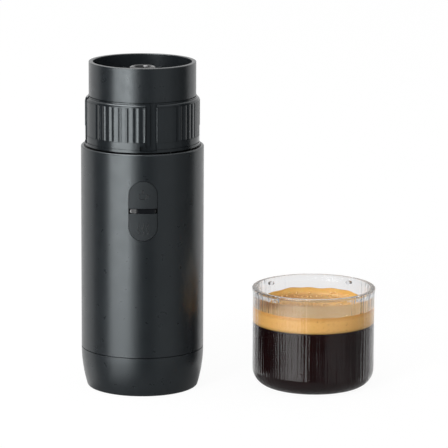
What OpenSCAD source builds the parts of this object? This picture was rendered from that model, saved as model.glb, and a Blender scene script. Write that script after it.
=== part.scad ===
// Portable electric espresso maker with its drinking cup.
// Millimetres, Z up. The maker stands on its tank lid with the brew head up, and its buttons face -Y.
// The origin is the middle of the maker's flat base, and the cup stands on the same level at +X.

/* [Body] */
// Outer diameter of the body tube
body_d = 70; // [69:0.5:74]
// Wall of the body tube
sleeve_t = 2; // [1.6:0.1:2.2]
// Radius of the rounded edges of the body tube
sleeve_edge_r = 0.8; // [0.3:0.1:0.9]
// Height of the tube's top edge above the deck inside it
sleeve_lip = 0.5; // [0.2:0.1:1]

/* [Tank] */
// Height of the tank lid
lid_h = 23; // [20:0.5:26]
// Radius of the long curve of the lid's side
lid_bulge_r = 78; // [70:1:140]
// Radius of the lid's bottom edge
lid_edge_r = 1.6; // [0.8:0.2:2.4]
// Thickness of the lid's floor
lid_floor = 2.6; // [2:0.1:3.2]
// Wall of the lid where it screws on
lid_wall = 3.6; // [3.2:0.1:4]
// Gap seen between lid and body
seam_gap = 0.4; // [0.2:0.1:0.8]
// Length of the threaded neck inside the lid
neck_l = 11; // [8:0.5:13]
// Wall of the neck
neck_t = 2.4; // [2:0.1:3]
// Thickness of the flat seal in the lid
seal_t = 1.6; // [1.2:0.1:2.2]
// Height of the tank above the seam
tank_rise = 42.6; // [36:0.2:50]
// Wall of the steel tank
tank_t = 0.6; // [0.5:0.1:1]
// Radius of the tank's end corner
tank_corner_r = 3; // [2:0.5:3.5]
// Diameter of the vent valve's stem
vent_d = 2.4; // [2:0.1:3]
// Soft pads set in the lid's underside
pads = 4; // [3:1:6]
// Diameter of a pad
pad_d = 8; // [6:0.5:9]
// Thickness of a pad
pad_t = 1; // [0.8:0.1:1.4]

/* [Heater and boards] */
// Height of the bay for the heater and the main board
bay_h = 16; // [15:0.5:20]
// Thickness of the heater plate
heater_t = 2.5; // [1.5:0.1:3]
// Thickness of every circuit board
board_t = 1.6; // [1:0.1:2]
// Width of the charging socket
usb_w = 8.94; // [8.8:0.02:9.2]
// Height of the charging socket
usb_h = 3.26; // [3.1:0.02:3.4]
// Depth of the charging socket
usb_l = 7.35; // [6.5:0.05:8]
// Width of the port's flap
flap_w = 15.1; // [14:0.1:17]
// Height of the port's flap
flap_h = 8.1; // [7.6:0.1:8.4]

/* [Cells and pump] */
// Diameter of a cell
cell_d = 18; // [17:0.1:18.2]
// Length of a cell
cell_l = 50; // [48:0.5:54]
// Space at each end of a cell for its strips
cell_end = 1; // [0.8:0.1:1.4]
// Wall of the carrier outside the cells
carrier_wall = 1.65; // [1.2:0.05:1.9]
// Wall between the motor's bore and each cell
motor_web = 1.45; // [1:0.05:2.5]
// Length of the motor can
motor_l = 28; // [26:0.5:30]
// Diameter of the motor shaft
shaft_d = 3; // [2.4:0.1:3.4]
// Throw of the pump's eccentric
throw = 1; // [0.6:0.1:1.4]
// Outer diameter of the water tubes
tube_d = 5; // [4.6:0.1:5.4]
// Bore of the water tubes
tube_bore = 3; // [2.6:0.1:3.2]

/* [Button panel] */
// Width of the button panel
panel_w = 16.4; // [14:0.2:18]
// Height of the button panel
panel_h = 34.4; // [32:0.2:37]
// Depth of the panel's middle below the body's top edge
panel_drop = 32.1; // [31:0.1:35]
// Height of the light bar between the buttons
bar_h = 2.4; // [2:0.1:3]
// Gap round each button
button_gap = 0.25; // [0.2:0.01:0.35]
// Travel of a button
button_travel = 0.6; // [0.4:0.05:0.7]
// Depth of the panel below the tube's surface
panel_sink = 0.1; // [0:0.05:0.4]

/* [Brew head] */
// Thickness of the deck under the head
deck_t = 5.6; // [5:0.1:7]
// Height of the threaded spigot above the deck
spigot_h = 11.4; // [10:0.2:13]
// Wall of the spigot
spigot_t = 1.8; // [1.5:0.1:2.2]
// Gap seen between body and head
head_gap = 0.7; // [0.5:0.1:1]
// Height of the ring's bottom flange
flange_h = 1.55; // [1.2:0.05:2]
// Height of the plain band below the ribs
band_h = 4.15; // [3.6:0.05:5]
// Height of the ribs
rib_h = 19.8; // [17:0.2:23]
// Depth of the flutes between the ribs
flute_depth = 0.25; // [0.15:0.05:0.4]
// Width of a rib between two flutes
rib_w = 0.6; // [0.4:0.05:1]
// Flutes between two slots
flutes = 9; // [6:1:11]
// Height and width of the rounded shoulder
shoulder = 1.5; // [1.1:0.1:1.6]
// Number of J-slots in the ring, and of nibs in the cup
slots = 4; // [3:1:4]
// Width of a slot in degrees
slot_deg = 11.5; // [10:0.5:13]
// Depth of the shallow step beside a slot's entry
slot_step = 0.8; // [0.5:0.1:1.2]
// Smooth pad beside each slot in degrees
pad_deg = 20.7; // [12:0.1:24]
// Turn of the first slot from the front
slot_turn = 8.2; // [0:0.1:16]
// Gap seen between ring and collar
collar_gap = 0.3; // [0.2:0.05:0.6]
// Height of the collar that shows
collar_h = 19.2; // [17:0.2:22]
// Wall of the collar at its rim
collar_t = 2.4; // [2:0.1:2.6]
// Depth of the dish from the rim to the spokes
dish_depth = 7.2; // [6:0.2:8]
// Number of spokes in the dish
spokes = 8; // [4:1:12]
// Height of the spokes above the dish floor
spoke_h = 2; // [1:0.1:2.6]
// Outer diameter of the nozzle
nozzle_d = 15.4; // [13:0.1:18]
// Bore of the nozzle
nozzle_bore = 9.4; // [8:0.1:10]
// Depth of the nozzle's lip below the rim
nozzle_drop = 3; // [2.4:0.1:4]

/* [Coffee basket] */
// Depth of the basket inside
basket_l = 20.5; // [18:0.1:21]
// Wall of the basket
basket_t = 0.6; // [0.5:0.1:0.9]
// Diameter of the filter's holes
hole_d = 1.4; // [1:0.1:1.6]
// Rings of holes in the filter and the shower screen
hole_rings = 3; // [2:1:4]

/* [Cup] */
// Height of the cup
cup_h = 57.3; // [50:0.1:62]
// Wall of the cup
cup_wall = 2; // [1.8:0.1:2.2]
// Thickness of the cup's base
cup_base = 3; // [2:0.1:4]
// Radius of the cup's bottom corner
cup_corner_r = 10; // [6:0.5:12]
// How far the cup's rim flares out
cup_flare = 0.4; // [0.2:0.1:0.6]
// How far a nib stands into the cup
nib_depth = 2; // [1.4:0.1:2]
// Width of a nib
nib_w = 3.2; // [2.4:0.1:4]
// Height of a nib
nib_h = 1.8; // [1.4:0.1:2.2]
// Depth of a nib's middle below the rim
nib_drop = 2.8; // [2.4:0.1:3]
// Turn of the cup where it stands
cup_turn = 2; // [-20:1:20]
// Place of the cup to the right of the maker
cup_x = 98.4; // [80:0.1:140]
// Place of the cup behind the maker's middle
cup_y = -1.9; // [-40:0.1:40]

/* [Coffee] */
// Depth of the foam's edge below the cup's rim
crema_drop = 11; // [6:0.1:16]
// Thickness of the foam at its edge
crema_t = 9.4; // [4:0.1:14]
// How far the foam climbs the cup's wall
crema_climb = 1.2; // [0.4:0.1:2]

/* [Fits] */
// Clearance of fixed pieces that sit inside one another
fit = 0.1; // [0.05:0.01:0.15]
// Running clearance of turning and sliding pieces
run = 0.3; // [0.25:0.01:0.35]
// Clearance of the motor shaft in its bushes
bearing = 0.05; // [0.03:0.01:0.08]

/* [Hidden] */

$fn = 96;
eps = 0.01;
over = 5;
far = 200;
anthracite = "#33373a";
black = "#1c1e20";
steel = "#b9bcc0";
silicone = "#2a2c2e";
copper = "#b87333";

// Radii of the body and what fills it
body_r = body_d / 2;
inner_r = body_r - sleeve_t;
core_r = inner_r - fit;

// Heights of the body's stack
seam_z = lid_h + seam_gap;
neck_flange_h = 2.6;
neck_z = seam_z - neck_l;
ledge_z = neck_z - seal_t - fit;
tank_top = seam_z + tank_rise;
bay_top = tank_top + bay_h;
carrier_h = cell_l + 2 * cell_end;
carrier_top = bay_top + carrier_h;
deck_z = carrier_top + deck_t;
body_top = deck_z + sleeve_lip;

// Lid and tank
lid_r = body_r;
thread_r = lid_r - lid_wall;
neck_r = thread_r - run;
tank_r = neck_r - neck_t - fit;
seal_in_r = tank_r - 1;
dish_r = seal_in_r - 0.5;
base_r = lid_r - lid_bulge_r + sqrt(pow(lid_bulge_r - lid_edge_r, 2) - pow(lid_h - lid_edge_r, 2));
pad_edge = 1.3;
pad_place = base_r - pad_d / 2 - pad_edge;
vent_place = 14;
vent_cap_r = 3;
vent_cap_h = 0.8;
vent_inset = 0.4;

// Bay above the tank
outlet_turn = 120;
outlet_flange_r = 4;
outlet_flange_h = 1.4;
outlet_nut_h = 2;
outlet_r = 2.4;
outlet_place = tank_r - tank_corner_r - outlet_flange_r;
heater_gap = 1.2;
heater_r = outlet_place - outlet_flange_r - heater_gap;
thermostat_r = 6;
thermostat_h = 3.4;
tab_w = 4;
tab_t = 0.8;
tab_h = 1;
board_drop = 8;
board_z = bay_top - board_drop;
ledge_w = 3;
ledge_t = 2;
frame_t = 2.4;
board_r = core_r - frame_t - fit;
part_place = board_r * 0.48;
chip_w = 8;
chip_h = 1.2;
coil_w = 7;
coil_h = 4;
driver_w = 6;
driver_h = 1;
capacitor_r = 3.1;
capacitor_h = 5.5;
screw_r = 1;
screw_head_r = 1.9;
screw_head_h = 1.3;
board_screw_place = board_r - screw_head_r;
screw_turns = [60, 180, 300];
usb_z = board_z + board_t + usb_h / 2;
usb_inset = 1.4;
usb_face = inner_r - usb_inset;
usb_shell = 0.3;
usb_back = 1;
tongue_w = 6.7;
tongue_t = 0.7;
tongue_inset = 1.2;
port_gap = 1;
port_w = usb_w + 2 * port_gap;
port_h = usb_h + 2 * port_gap;
boss_gap = 0.5;
boss_w = port_w - 2 * boss_gap;
boss_h = port_h - 2 * boss_gap;
boss_l = 1.3;
recess = 1.3;
flap_gap = 0.2;

// Carrier, cells and pump
cell_fit = 0.25;
cell_r = cell_d / 2;
cell_place = core_r - carrier_wall - cell_fit - cell_r;
cell_z = bay_top + cell_end;
cell_turns = [60, 180, 300];
cell_rim = 0.6;
strip_t = 0.3;
strip_w = 6;
core_bore_r = cell_place - cell_r - cell_fit - motor_web;
motor_r = core_bore_r - run;
motor_foot = 2;
motor_z = bay_top + motor_foot;
motor_wall = 1.2;
end_wall = 1.6;
magnet_t = 1.6;
magnet_gap = 3;
magnet_split = 3;
brush_room = 6;
armature_inset = 1;
armature_slot_w = 1.2;
armature_slot_l = 2;
commutator_t = 2;
shaft_stub = 0.5;
air_gap = 0.4;
magnet_r = motor_r - motor_wall - fit;
armature_r = magnet_r - magnet_t - air_gap;
shaft_r = shaft_d / 2;
bush_t = 1.6;
bush_r = shaft_r + bush_t;
bush_l = 3;
motor_top = motor_z + motor_l;
brush_z = motor_top - end_wall - brush_room;
pump_wall = 1.6;
chamber_l = 6;
pump_top = motor_top + chamber_l + pump_wall;
cap_l = 9;
cap_wall = 3;
valve_rise = 2;
barb_r = tube_bore / 2 - bearing;
barb_t = 0.6;
barb_l = 4;
eccentric_gap = 1;
eccentric_r = motor_r - pump_wall - throw - eccentric_gap;
eccentric_l = 3;
eccentric_z = motor_top + eccentric_gap;
press_gap = 0.02;
shaft_top = eccentric_z + eccentric_l;
channel_gap = 0.8;
channel_w = tube_d + 2 * channel_gap;
screw_edge = 0.8;
deck_screw_place = core_r - screw_head_r - screw_edge;
deck_screw_l = 9.6;
screw_sink = 2;
elbow_r = 4;
feed_z = pump_top + cap_l / 2;
tube_seat = 1.5;
outlet_tube_top = deck_z + tube_seat;

// Button panel, as distances from the axis
lip_w = 0.8;
lip_t = 0.9;
panel_z = body_top - panel_drop;
panel_r = body_r - panel_sink;
lip_r = inner_r - run;
lip_in_r = lip_r - lip_t;
guide_r = lip_in_r - button_travel - fit;
guide_t = 1.4;
guide_in_r = guide_r - guide_t;
guide_margin = 2;
stem_r = 2.4;
stem_z = (panel_h + bar_h) / 4;
switch_w = 6;
switch_h = 2.5;
plunger_r = 1.7;
plunger_h = 0.5;
board_gap = 5.1;
board_y = guide_in_r - board_gap;
board_w = 14;
board_room = 0.5;
switch_top = board_y + board_t + switch_h;
stem_end = switch_top + button_travel + fit;
bar_inset = 0.85;
bar_w = panel_w - 2 * bar_inset;
pipe_w = bar_w - 4;
pipe_h = bar_h - 0.6;
seat = 0.4;

// Brew head, from the cup's inside inwards
cup_in_r = body_r - cup_wall;
cup_over_ring = 0.55;
ring_r = cup_in_r - cup_over_ring;
cup_over_flange = 0.25;
flange_r = cup_in_r - cup_over_flange;
slot_floor_r = cup_in_r - nib_depth - run;
collar_inset = 0.2;
collar_r = slot_floor_r - collar_inset;
ring_wall = 1;
ring_bore_r = slot_floor_r - ring_wall;
skirt_r = ring_bore_r - fit;
ring_ledge = 2.2;
spigot_bore_r = ring_bore_r - ring_ledge;
spigot_r = spigot_bore_r - run;
well_r = spigot_r - spigot_t;
skirt_t = 3.6;
skirt_in_r = skirt_r - skirt_t;

// Heights of the brew head
spigot_top = deck_z + spigot_h;
gasket_t = 1.2;
basket_z = spigot_top + gasket_t;
basket_flange_t = 1;
ring_z = body_top + head_gap;
band_z = ring_z + flange_h;
rib_z = band_z + band_h;
rib_top = rib_z + rib_h;
shoulder_step = 0.7;
shoulder_h = shoulder + shoulder_step;
ring_top = rib_top + shoulder_h;
line_h = 0.35;
line_depth = flute_depth + 0.05;
basket_play = 0.2;
step_z = basket_z + basket_flange_t + basket_play;
collar_z = ring_top + collar_gap;
rim_z = collar_z + collar_h;
spoke_z = rim_z - dish_depth;
floor_z = spoke_z - spoke_h;
floor_t = 2;
rim_round = 0.35;
collar_in_r = collar_r - collar_t;
nozzle_top = rim_z - nozzle_drop;
nozzle_r = nozzle_d / 2;
nozzle_collar = 1;
nozzle_foot = 0.8;
hub_t = 0.6;
hub_drop = 0.4;
spoke_w = 1.2;
nib_z = body_top + nib_drop;
slot_play = 0.4;
pocket_h = nib_h + 2 * slot_play;
pocket_deg = 5.6;
detent_h = 0.4;
detent_deg = 1;
nib_side = 0.25;
entry_deg = (nib_w + 2 * nib_side) / slot_floor_r * 180 / PI;
rib_deg = (360 / slots - slot_deg - pad_deg) / flutes;
flute_half_deg = rib_deg / 2 - rib_w / 2 / ring_r * 180 / PI;
flute_floor_r = ring_r - flute_depth;
flute_place = (pow(ring_r, 2) - pow(flute_floor_r, 2)) / (ring_r * cos(flute_half_deg) - flute_floor_r) / 2;

// Shower and basket
screen_t = 0.8;
screen_z = spigot_top - screen_t;
screen_hole_r = 1.3;
screen_screw_r = 1.2;
screen_screw_l = 4;
screen_head_r = 2.6;
screen_head_h = 1;
block_feed = 4;
block_channel_r = 1;
block_groove = 3;
basket_gap = 1;
basket_r = skirt_in_r - basket_gap;
basket_in_r = basket_r - basket_t;
basket_end_z = basket_z + basket_l;
filter_t = 0.8;
hole_pitch = 4.4;
ring_seal_r = basket_gap / 2;
ring_seal_drop = 4;

// Cup's rim
flare_h = 2.6;
flare_drop = 4;
rim_r = 0.6;

// Coffee and foam in the cup
coffee_r = cup_in_r - fit;
crema_z = cup_h - crema_drop - crema_t;
crema_lip = 0.3;

// Points that stand round a circle
module around(turns) {
    for (a = turns) rotate(a) children();
}

// A tube from z0 to z1
module tube(outer, inner, z0, z1) {
    translate([0, 0, z0]) difference() {
        cylinder(r = outer, h = z1 - z0);
        translate([0, 0, -eps]) cylinder(r = inner, h = z1 - z0 + 2 * eps);
    }
}

// A cylinder from z0 to z1
module bar(r, z0, z1) {
    translate([0, 0, z0]) cylinder(r = r, h = z1 - z0);
}

// A plate with round ends, w wide and h high
module obround(w, h) {
    r = min(w, h) / 2;
    dx = w / 2 - r;
    dz = h / 2 - r;
    square([w > h ? 2 * dx : w, w > h ? h : 2 * dz], center = true);
    for (s = [-1, 1]) translate([s * dx, s * dz]) circle(r = r);
}

// A 2D shape pushed out towards the front, from y0 to y1 measured from the axis
module to_front(z, y0, y1) {
    translate([0, -y0, z]) rotate([90, 0, 0]) linear_extrude(y1 - y0) children();
}

// The same towards the back
module to_back(z, y0, y1) {
    rotate(180) to_front(z, y0, y1) children();
}

// What of its child lies between two radii
module shell(outer, inner, z0, z1) {
    intersection() {
        tube(outer, inner, z0, z1);
        children();
    }
}

// Section with both upper corners rounded
module round_top(x0, x1, z0, z1, r) {
    translate([x0, z0]) square([x1 - x0, z1 - z0 - r]);
    translate([x0 + r, z0]) square([x1 - x0 - 2 * r, z1 - z0]);
    for (x = [x0 + r, x1 - r]) translate([x, z1 - r]) circle(r = r);
}

// A screw with a flat round head, standing at the origin
module screw(r, length, head_r, head_h) {
    translate([0, 0, -length]) cylinder(r = r, h = length + eps);
    difference() {
        cylinder(r = head_r, h = head_h);
        translate([0, 0, head_h / 2]) cylinder(r = head_r / 2, h = head_h, $fn = 6);
    }
}

// Holes in rings about the middle, hole_rings of them
module hole_field(z0, z1) {
    for (i = [1 : hole_rings], j = [0 : 6 * i - 1])
        rotate(60 * j / i) translate([hole_pitch * i, 0, z0]) cylinder(r = hole_d / 2, h = z1 - z0, $fn = 24);
}

module body_sleeve() {
    color(anthracite) difference() {
        rotate_extrude() {
            round_top(inner_r, body_r, seam_z, body_top, sleeve_edge_r);
        }
        to_front(panel_z, inner_r - over, far) panel_plate(0);
        to_back(usb_z, inner_r - over, far) obround(port_w, port_h);
        difference() {
            to_back(usb_z, inner_r - over, far) obround(flap_w + 2 * flap_gap, flap_h + 2 * flap_gap);
            bar(body_r - recess, 0, far);
        }
    }
}

module tank_neck() {
    color(black) {
        tube(neck_r, neck_r - neck_t, neck_z, seam_z + eps);
        tube(core_r, neck_r - neck_t, seam_z, seam_z + neck_flange_h);
    }
}

module water_tank() {
    r = tank_corner_r;
    color(steel) difference() {
        rotate_extrude() difference() {
            tank_section(tank_r, neck_z, tank_top, r);
            tank_section(tank_r - tank_t, neck_z - over, tank_top - tank_t, r - tank_t);
        }
        at_outlet() bar(outlet_r + fit, tank_top - over, tank_top + over);
    }
}

module tank_section(r, z0, z1, corner) {
    translate([0, z0]) square([r, z1 - z0 - corner]);
    translate([0, z0]) square([r - corner, z1 - z0]);
    translate([r - corner, z1 - corner]) circle(r = corner);
}

module tank_insulation() {
    color("#5a5f63") tube(core_r, tank_r + fit, seam_z + neck_flange_h, tank_top);
}

module heater_plate() {
    color(copper) bar(heater_r, tank_top, tank_top + heater_t);
}

module thermostat() {
    z = tank_top + heater_t;
    color(black) {
        bar(thermostat_r, z, z + thermostat_h);
        for (s = [-1, 1]) translate([s * thermostat_r / 2 - tab_t / 2, -tab_w / 2, z + thermostat_h - eps])
            cube([tab_t, tab_w, tab_h]);
    }
}

module at_outlet() {
    rotate(outlet_turn - 90) translate([outlet_place, 0, 0]) children();
}

module tank_outlet() {
    nut_z = tank_top - tank_t - outlet_nut_h;
    barb_z = tank_top + outlet_flange_h;
    color("#e8e6df") at_outlet() difference() {
        union() {
            bar(outlet_r, nut_z - tab_h, tank_top + eps);
            bar(outlet_flange_r, nut_z, tank_top - tank_t);
            bar(outlet_flange_r, tank_top, barb_z);
            bar(barb_r, barb_z - eps, barb_z + barb_l);
        }
        bar(barb_r - barb_t, nut_z - over, barb_z + barb_l + over);
    }
}

module board_frame() {
    color(black) difference() {
        rotate_extrude() {
            translate([core_r - frame_t, tank_top]) square([frame_t, bay_h]);
            translate([core_r - frame_t - ledge_w, board_z - ledge_t]) square([ledge_w + frame_t, ledge_t]);
        }
        to_back(usb_z, core_r - frame_t - over, far) obround(port_w, port_h);
        around(screw_turns) translate([board_screw_place, 0, 0])
            bar(screw_r + fit, board_z - over, board_z + over);
    }
}

module main_board() {
    color("#1d5a3a") difference() {
        bar(board_r, board_z, board_z + board_t);
        at_outlet() bar(tube_d / 2 + run, board_z - over, board_z + over);
        around(screw_turns) translate([board_screw_place, 0, 0])
            bar(screw_r + fit, board_z - over, board_z + over);
    }
}

module board_screws() {
    color(steel) around(screw_turns) translate([board_screw_place, 0, board_z + board_t])
        screw(screw_r, board_t + ledge_t, screw_head_r, screw_head_h);
}

// A square part on the board, turned about the board's middle
module board_part(turn, w, h) {
    rotate(turn) translate([part_place - w / 2, -w / 2, 0]) cube([w, w, h]);
}

module board_parts() {
    color("#2b2d31") translate([0, 0, board_z + board_t]) {
        board_part(265, chip_w, chip_h);
        board_part(320, coil_w, coil_h);
        for (turn = [90, 210]) board_part(turn, driver_w, driver_h);
        around([130, 165]) translate([part_place, 0, 0]) cylinder(r = capacitor_r, h = capacitor_h);
    }
}

module usb_socket() {
    floor_y = usb_face - usb_l + usb_back;
    color(steel) difference() {
        to_back(usb_z, usb_face - usb_l, usb_face) obround(usb_w, usb_h);
        to_back(usb_z, floor_y, far) obround(usb_w - 2 * usb_shell, usb_h - 2 * usb_shell);
    }
    color(black) to_back(usb_z, floor_y - eps, usb_face - tongue_inset)
        square([tongue_w, tongue_t], center = true);
}

module cell_carrier() {
    room_w = board_w + 2 * board_room;
    room_h = panel_h + 2 * board_room;
    color("#3c4248") difference() {
        bar(core_r, bay_top, carrier_top);
        around(cell_turns) translate([0, -cell_place, bay_top - eps])
            cylinder(r = cell_r + cell_fit, h = carrier_h + 2 * eps);
        bar(core_bore_r, bay_top - over, carrier_top + over);
        at_outlet() bar(channel_w / 2, bay_top - over, carrier_top + over);
        rotate(outlet_turn - 90) translate([0, -channel_w / 2, feed_z - channel_w / 2 - pump_wall])
            cube([outlet_place, channel_w, far]);
        translate([-room_w / 2, -far, panel_z - room_h / 2]) cube([room_w, far - board_y, room_h]);
        difference() {
            to_front(panel_z, 0, far) panel_plate(guide_margin + fit);
            bar(guide_in_r - fit, 0, far);
        }
        around(screw_turns) translate([deck_screw_place, 0, 0])
            bar(screw_r + fit, carrier_top - deck_screw_l, carrier_top + over);
    }
}

module cell() {
    color("#2f6f9f") translate([0, -cell_place, cell_z]) {
        cylinder(r = cell_r, h = cell_l - cell_rim);
        translate([0, 0, cell_l - cell_rim - eps]) cylinder(r = cell_r / 3, h = cell_rim + eps);
    }
}

module cell_1() { rotate(cell_turns[0]) cell(); }

module cell_2() { rotate(cell_turns[1]) cell(); }

module cell_3() { rotate(cell_turns[2]) cell(); }

module cell_strips() {
    color(steel) for (z = [cell_z - strip_t, cell_z + cell_l]) around(cell_turns)
        translate([-strip_w / 2, -cell_place - strip_w / 2, z]) cube([strip_w, strip_w, strip_t]);
}

module motor_can() {
    color("#8f9398") difference() {
        bar(motor_r, motor_z, motor_top);
        bar(motor_r - motor_wall, motor_z + end_wall, motor_top - end_wall);
        bar(bush_r, motor_z - over, motor_top + over);
    }
}

module motor_magnets() {
    color("#3a3a3c") difference() {
        tube(magnet_r, magnet_r - magnet_t, motor_z + end_wall + magnet_gap, brush_z);
        translate([-magnet_split / 2, -far / 2, 0]) cube([magnet_split, far, far]);
    }
}

module motor_bushes() {
    color("#c8a04a") {
        tube(bush_r, shaft_r + bearing, motor_z, motor_z + bush_l);
        tube(bush_r, shaft_r + bearing, motor_top - bush_l, motor_top);
    }
}

module motor_rotor() {
    color(copper) {
        bar(shaft_r, motor_z + shaft_stub, shaft_top);
        difference() {
            bar(armature_r, motor_z + end_wall + magnet_gap + armature_inset, brush_z - armature_inset);
            around([0 : 36 : 324]) translate([armature_r - armature_slot_l, -armature_slot_w / 2, 0])
                cube([over, armature_slot_w, far]);
        }
        bar(shaft_r + commutator_t, brush_z, motor_top - bush_l - armature_inset);
    }
}

module pump_eccentric() {
    color(steel) difference() {
        translate([throw, 0, 0]) bar(eccentric_r, eccentric_z, eccentric_z + eccentric_l);
        bar(shaft_r + press_gap, eccentric_z - over, eccentric_z + over);
    }
}

module pump_housing() {
    color(black) difference() {
        bar(motor_r, motor_top, pump_top);
        bar(motor_r - pump_wall, motor_top - eps, pump_top - pump_wall);
    }
}

module to_feed() {
    rotate(outlet_turn - 90) translate([0, 0, feed_z]) rotate([0, 90, 0]) children();
}

module pump_cap() {
    color("#4a4f54") difference() {
        union() {
            bar(motor_r, pump_top, pump_top + cap_l);
            bar(barb_r, pump_top + cap_l - eps, pump_top + cap_l + barb_l);
            to_feed() cylinder(r = barb_r, h = motor_r + barb_l);
        }
        bar(barb_r - barb_t, feed_z, far);
        to_feed() cylinder(r = barb_r - barb_t, h = far);
        bar(motor_r - cap_wall, pump_top + pump_wall, feed_z + valve_rise);
    }
}

module tube_section() {
    difference() {
        circle(r = tube_d / 2);
        circle(r = tube_bore / 2);
    }
}

module inlet_tube() {
    start = tank_top + outlet_flange_h;
    rise = feed_z - elbow_r;
    reach = outlet_place - elbow_r;
    end = motor_r + fit;
    color("#dfe3e6") rotate(outlet_turn - 90) {
        translate([outlet_place, 0, start]) linear_extrude(rise - start) tube_section();
        translate([reach, 0, rise]) rotate([90, 0, 0]) rotate_extrude(angle = 90)
            translate([elbow_r, 0]) tube_section();
        translate([end, 0, feed_z]) rotate([0, 90, 0]) linear_extrude(reach - end) tube_section();
    }
}

module outlet_tube() {
    color("#dfe3e6") tube(tube_d / 2, tube_bore / 2, pump_top + cap_l, outlet_tube_top);
}

// The panel's outline, grown by a margin
module panel_plate(margin) {
    obround(panel_w + 2 * margin, panel_h + 2 * margin);
}

// One half of the panel above or below the light bar, grown by a margin on its outside
module half_panel(side, margin) {
    cut = bar_h / 2 + button_gap;
    intersection() {
        panel_plate(margin - button_gap);
        translate([-panel_w, side > 0 ? cut : -cut - panel_h]) square([2 * panel_w, panel_h]);
    }
}

module button(side) {
    color(anthracite) {
        shell(panel_r, lip_in_r, 0, far) to_front(panel_z, guide_r - over, far) half_panel(side, 0);
        shell(lip_r, lip_in_r, 0, far) to_front(panel_z, guide_r - over, far) half_panel(side, lip_w);
        to_front(panel_z + side * stem_z, stem_end, lip_in_r + seat) circle(r = stem_r);
    }
}

module brew_button() { button(1); }

module heat_button() { button(-1); }

module light_bar() {
    color("#15171a") {
        shell(panel_r, guide_r, 0, far) to_front(panel_z, guide_r - over, far) obround(bar_w, bar_h);
        to_front(panel_z, board_y + board_t, guide_r + seat) square([pipe_w, pipe_h], center = true);
    }
}

module button_guide() {
    color(black) difference() {
        shell(guide_r, guide_in_r, 0, far)
            to_front(panel_z, guide_in_r - over, far) panel_plate(guide_margin);
        for (s = [-1, 1]) to_front(panel_z + s * stem_z, 0, far) circle(r = stem_r + run);
        to_front(panel_z, 0, far) square([pipe_w + 2 * fit, pipe_h + 2 * fit], center = true);
    }
}

module button_board() {
    color("#1d5a3a") translate([-board_w / 2, -board_y - board_t, panel_z - panel_h / 2])
        cube([board_w, board_t, panel_h]);
}

module button_switches() {
    color("#26282b") for (s = [-1, 1]) {
        to_front(panel_z + s * stem_z, board_y + board_t, switch_top - plunger_h)
            square(switch_w, center = true);
        to_front(panel_z + s * stem_z, switch_top - plunger_h - eps, switch_top) circle(r = plunger_r);
    }
}

module top_deck() {
    color(black) difference() {
        union() {
            bar(core_r, carrier_top, deck_z);
            bar(spigot_r, deck_z - eps, spigot_top);
        }
        bar(well_r, deck_z, far);
        bar(tube_d / 2 + fit, carrier_top - over, far);
        around(screw_turns) translate([deck_screw_place, 0, 0]) {
            bar(screw_r + fit, carrier_top - over, far);
            bar(screw_head_r + fit, deck_z - screw_sink, far);
        }
    }
}

module deck_screws() {
    color(steel) around(screw_turns) translate([deck_screw_place, 0, deck_z - screw_sink])
        screw(screw_r, deck_screw_l, screw_head_r, screw_head_h);
}

module shower_block() {
    feed = deck_z + block_feed;
    channel_place = well_r / 2;
    color("#4a4f54") difference() {
        bar(well_r - fit, deck_z, screen_z);
        bar(tube_d / 2 + fit, deck_z - over, outlet_tube_top);
        bar(tube_bore / 2, deck_z - over, feed);
        around([0 : 60 : 300]) {
            translate([0, 0, feed]) rotate([0, 90, 0]) cylinder(r = block_channel_r, h = channel_place);
            translate([channel_place, 0, 0]) bar(block_channel_r, feed, far);
        }
        bar(screen_hole_r, screen_z - screen_screw_l, far);
        difference() {
            bar(well_r - block_groove, screen_z - screen_t, far);
            bar(screen_hole_r + block_groove, 0, far);
        }
    }
}

module shower_screen() {
    color(steel) difference() {
        bar(well_r - fit, screen_z, spigot_top);
        hole_field(screen_z - over, spigot_top + over);
        bar(screen_hole_r, screen_z - over, far);
    }
}

module screen_screw() {
    color(steel) translate([0, 0, spigot_top])
        screw(screen_screw_r, screen_screw_l, screen_head_r, screen_head_h);
}

module chamber_gasket() {
    color(silicone) tube(spigot_r - fit, well_r, spigot_top, basket_z);
}

module coffee_basket() {
    color(steel) {
        tube(spigot_r - fit, basket_in_r, basket_z, basket_z + basket_flange_t);
        tube(basket_r, basket_in_r, basket_z + basket_flange_t - eps, basket_end_z);
    }
}

module basket_filter() {
    color(steel) difference() {
        union() {
            bar(basket_r, basket_end_z, basket_end_z + filter_t);
            bar(basket_in_r - fit, basket_end_z - filter_t, basket_end_z + eps);
        }
        hole_field(basket_end_z - over, basket_end_z + over);
    }
}

module basket_ring() {
    color(silicone) translate([0, 0, basket_end_z - ring_seal_drop]) rotate_extrude()
        translate([basket_r + ring_seal_r, 0]) circle(r = ring_seal_r - bearing);
}

// The grip ring: a shell with flutes, smooth pads and four J-slots for the cup's nibs
module knurled_ring() {
    quarter = 360 / slots;
    color(anthracite) difference() {
        rotate_extrude() difference() {
            union() {
                translate([spigot_bore_r, ring_z]) square([flange_r - spigot_bore_r, flange_h]);
                translate([spigot_bore_r, ring_z]) square([ring_r - spigot_bore_r, rib_top - ring_z]);
                translate([spigot_bore_r, rib_top - eps])
                    square([ring_r - shoulder - spigot_bore_r, shoulder_h + eps]);
                translate([ring_r - shoulder, rib_top]) intersection() {
                    circle(r = shoulder);
                    translate([0, -shoulder]) square(2 * shoulder);
                }
            }
            translate([0, step_z]) square([ring_bore_r, far]);
            for (z = [band_z, rib_z - line_h, rib_top - line_h])
                translate([ring_r - line_depth, z]) square([over, line_h]);
        }
        around([for (i = [0 : slots - 1]) slot_turn - 90 + quarter * i]) {
            rotate(slot_deg / 2 + pad_deg) ring_flutes();
            j_slot();
        }
    }
}

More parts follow.
